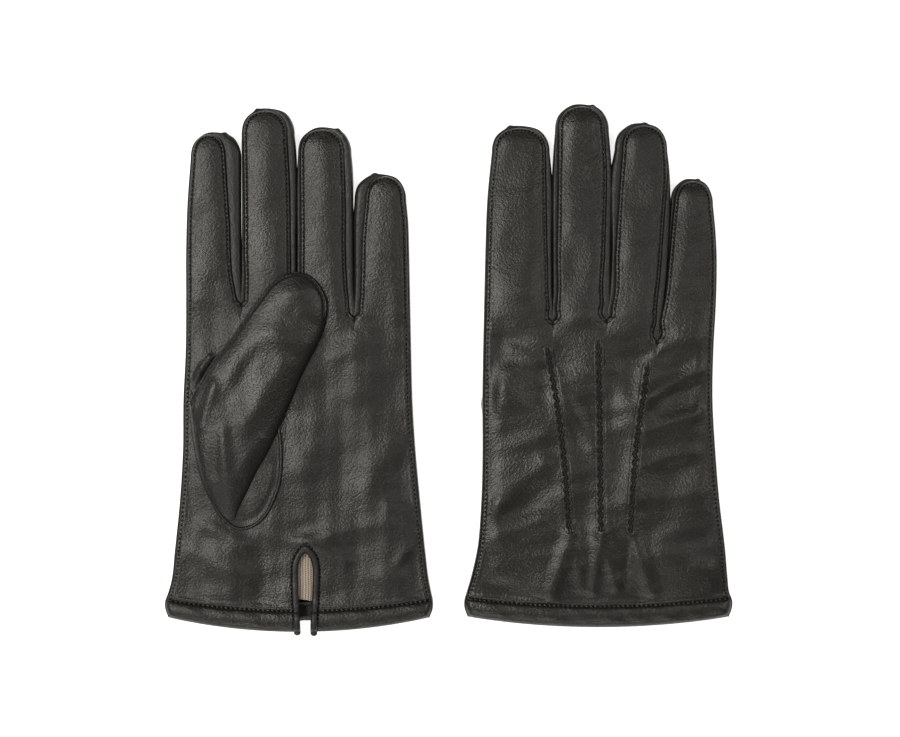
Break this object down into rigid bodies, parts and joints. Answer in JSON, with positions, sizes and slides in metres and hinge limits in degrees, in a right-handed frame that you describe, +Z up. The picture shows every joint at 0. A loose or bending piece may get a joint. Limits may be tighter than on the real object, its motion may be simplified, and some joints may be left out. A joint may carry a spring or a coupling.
{
  "type": "leather gloves",
  "caption": "Lined leather dress gloves side by side: left glove palm up with its thumb folded over and a bound wrist slit, right glove back up with raised points.",
  "frame": {"origin": "on the table, at the middle of the pair's outline", "axes": "+X across both gloves from the left glove to the right glove, +Y towards the fingertips, +Z up from the table"},
  "size_m": [0.2708, 0.253, 0.0215],
  "materials": {
    "leather": "satin",
    "fourchette": "satin",
    "binding": "satin",
    "knit": "matte"
  },
  "bodies": {
    "left_hand": {"left_palm_leather": "leather", "left_back_leather": "leather", "left_hand_lining": "knit", "left_index_middle_fork": "fourchette", "left_middle_ring_fork": "fourchette", "left_ring_little_fork": "fourchette", "left_vent_binding": "binding", "left_index_point": "leather", "left_middle_point": "leather", "left_ring_point": "leather"},
    "left_index": {"left_index_palm": "leather", "left_index_back": "leather", "left_index_lining": "knit", "left_index_outer_fourchette": "fourchette"},
    "left_middle": {"left_middle_palm": "leather", "left_middle_back": "leather", "left_middle_lining": "knit", "left_middle_inner_fourchette": "fourchette", "left_middle_outer_fourchette": "fourchette"},
    "left_ring": {"left_ring_palm": "leather", "left_ring_back": "leather", "left_ring_lining": "knit", "left_ring_inner_fourchette": "fourchette", "left_ring_outer_fourchette": "fourchette"},
    "left_little": {"left_little_palm": "leather", "left_little_back": "leather", "left_little_lining": "knit", "left_little_inner_fourchette": "fourchette"},
    "left_thumb": {"left_thumb_leather": "leather", "left_thumb_lining": "knit"},
    "right_hand": {"right_palm_leather": "leather", "right_back_leather": "leather", "right_hand_lining": "knit", "right_index_middle_fork": "fourchette", "right_middle_ring_fork": "fourchette", "right_ring_little_fork": "fourchette", "right_vent_binding": "binding", "right_index_point": "leather", "right_middle_point": "leather", "right_ring_point": "leather"},
    "right_index": {"right_index_palm": "leather", "right_index_back": "leather", "right_index_lining": "knit", "right_index_outer_fourchette": "fourchette"},
    "right_middle": {"right_middle_palm": "leather", "right_middle_back": "leather", "right_middle_lining": "knit", "right_middle_inner_fourchette": "fourchette", "right_middle_outer_fourchette": "fourchette"},
    "right_ring": {"right_ring_palm": "leather", "right_ring_back": "leather", "right_ring_lining": "knit", "right_ring_inner_fourchette": "fourchette", "right_ring_outer_fourchette": "fourchette"},
    "right_little": {"right_little_palm": "leather", "right_little_back": "leather", "right_little_lining": "knit", "right_little_inner_fourchette": "fourchette"},
    "right_thumb": {"right_thumb_leather": "leather", "right_thumb_lining": "knit"}
  },
  "joints": [
    {"name": "right_glove_lift", "type": "slide", "parent": "left_hand", "child": "right_hand", "axis": [0, 0, 1], "range_m": [0, 0.12]},
    {"name": "left_index_curl", "type": "hinge", "parent": "left_hand", "child": "left_index", "pos_m": [-0.11225, 0.0515, 0.0121], "axis": [1, 0, 0], "range_deg": [0, 80]},
    {"name": "left_middle_curl", "type": "hinge", "parent": "left_hand", "child": "left_middle", "pos_m": [-0.08601, 0.0555, 0.0121], "axis": [1, 0, 0], "range_deg": [0, 80]},
    {"name": "left_ring_curl", "type": "hinge", "parent": "left_hand", "child": "left_ring", "pos_m": [-0.05921, 0.0515, 0.0121], "axis": [1, 0, 0], "range_deg": [0, 80]},
    {"name": "left_little_curl", "type": "hinge", "parent": "left_hand", "child": "left_little", "pos_m": [-0.03102, 0.0425, 0.0121], "axis": [1, 0, 0], "range_deg": [0, 80]},
    {"name": "left_thumb_swing", "type": "hinge", "parent": "left_hand", "child": "left_thumb", "pos_m": [-0.103, -0.0603, 0.017], "axis": [0, 0, 1], "range_deg": [0, 60]},
    {"name": "right_index_curl", "type": "hinge", "parent": "right_hand", "child": "right_index", "pos_m": [0.03296, 0.0538, 0.00469], "axis": [-1, 0, 0], "range_deg": [0, 75]},
    {"name": "right_middle_curl", "type": "hinge", "parent": "right_hand", "child": "right_middle", "pos_m": [0.06318, 0.0578, 0.0046], "axis": [-1, 0, 0], "range_deg": [0, 75]},
    {"name": "right_ring_curl", "type": "hinge", "parent": "right_hand", "child": "right_ring", "pos_m": [0.08992, 0.0538, 0.00473], "axis": [-1, 0, 0], "range_deg": [0, 75]},
    {"name": "right_little_curl", "type": "hinge", "parent": "right_hand", "child": "right_little", "pos_m": [0.11487, 0.0448, 0.00499], "axis": [-1, 0, 0], "range_deg": [0, 75]},
    {"name": "right_thumb_swing", "type": "hinge", "parent": "right_hand", "child": "right_thumb", "pos_m": [0.0398, -0.058, 0.003], "axis": [0, 0, 1], "range_deg": [0, 38]}
  ]
}
